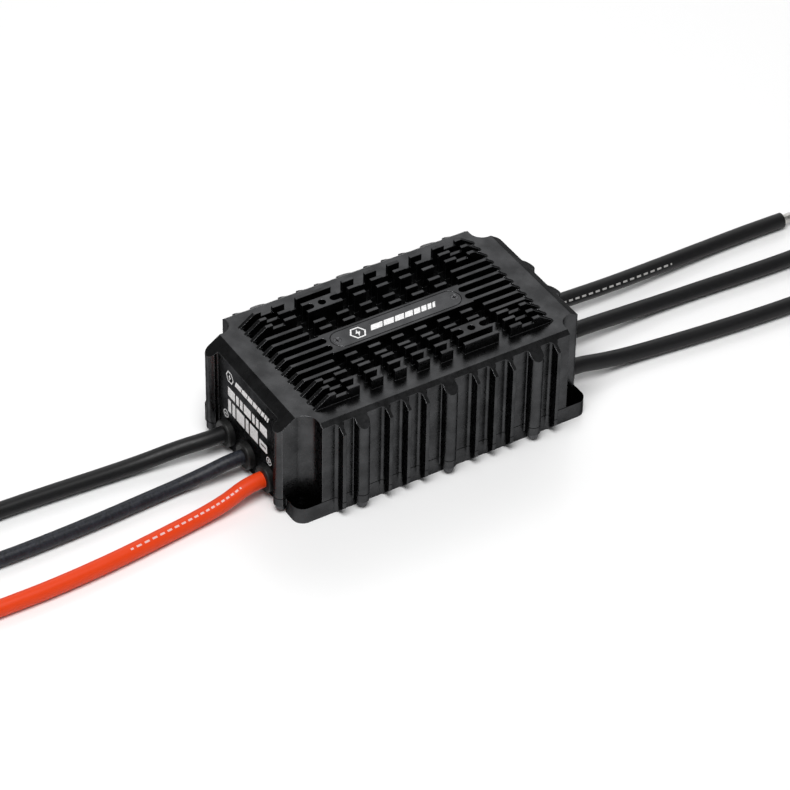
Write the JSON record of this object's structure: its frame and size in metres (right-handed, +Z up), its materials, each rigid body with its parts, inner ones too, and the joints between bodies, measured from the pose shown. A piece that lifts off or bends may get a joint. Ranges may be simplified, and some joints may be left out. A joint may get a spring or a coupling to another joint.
{
  "type": "electronic speed controller",
  "caption": "Finned metal motor controller case with corner mounting lugs, battery and signal leads at one end and phase leads at the other.",
  "frame": {"origin": "middle of the base plate's underside", "axes": "+X along the case from the battery leads to the phase leads, +Y across it towards the negative lead's side, +Z up"},
  "size_m": [0.5732, 0.1106, 0.0649],
  "materials": {
    "case_anodised": "black anodised, satin",
    "base_anodised": "black anodised, satin",
    "nameplate_black": "black anodised, lightly brushed",
    "black_steel": "black oxide",
    "printed_marks": "pale ink",
    "gasket_rubber": "matte",
    "thermal_pad": "matte, soft",
    "silicone_black": "satin silicone",
    "silicone_red": "satin silicone",
    "signal_sheath": "wrinkled heat shrink",
    "grommet_rubber": "satin",
    "tinned_copper": "tinned strands",
    "circuit_board": "solder mask",
    "steel_screw": "zinc plated",
    "chip_black": "moulded",
    "copper": "bare copper",
    "capacitor_sleeve": "shrunk sleeve",
    "brass_spacer": "turned",
    "connector_black": "moulded",
    "ferrite": "sintered",
    "plug_black": "moulded",
    "contact_metal": "plated"
  },
  "bodies": {
    "root": {"base_plate": "base_anodised", "board_header": "connector_black", "board_spacers": "brass_spacer", "bus_capacitors": "capacitor_sleeve", "case_screws": "black_steel", "current_shunts": "chip_black", "driver_board": "circuit_board", "driver_board_screws": "steel_screw", "end_face_marks": "printed_marks", "gate_drivers": "chip_black", "heatsink_housing": "case_anodised", "microcontroller": "chip_black", "nameplate": "nameplate_black", "nameplate_marks": "printed_marks", "nameplate_screws": "black_steel", "negative_bus_bar": "copper", "negative_grommet": "grommet_rubber", "negative_lead": "silicone_black", "negative_lead_tail": "silicone_black", "negative_lead_tinned_end": "tinned_copper", "phase_a_bar": "copper", "phase_a_grommet": "grommet_rubber", "phase_a_lead_tail": "silicone_black", "phase_b_bar": "copper", "phase_b_grommet": "grommet_rubber", "phase_b_lead_tail": "silicone_black", "phase_c_bar": "copper", "phase_c_grommet": "grommet_rubber", "phase_c_lead_tail": "silicone_black", "phase_lead_a": "silicone_black", "phase_lead_a_tinned_end": "tinned_copper", "phase_lead_b": "silicone_black", "phase_lead_b_tinned_end": "tinned_copper", "phase_lead_c": "silicone_black", "phase_lead_c_tinned_end": "tinned_copper", "positive_bus_bar": "copper", "positive_grommet": "grommet_rubber", "positive_lead": "silicone_red", "positive_lead_tail": "silicone_red", "positive_lead_tinned_end": "tinned_copper", "power_board": "circuit_board", "power_board_screws": "steel_screw", "seam_gasket": "gasket_rubber", "signal_cable": "signal_sheath", "signal_grommet": "grommet_rubber", "signal_lead_tail": "signal_sheath", "signal_plug": "plug_black", "signal_plug_contacts": "contact_metal", "signal_socket": "connector_black", "supply_choke": "ferrite", "switching_transistors": "chip_black", "thermal_pad": "thermal_pad"}
  },
  "joints": []
}
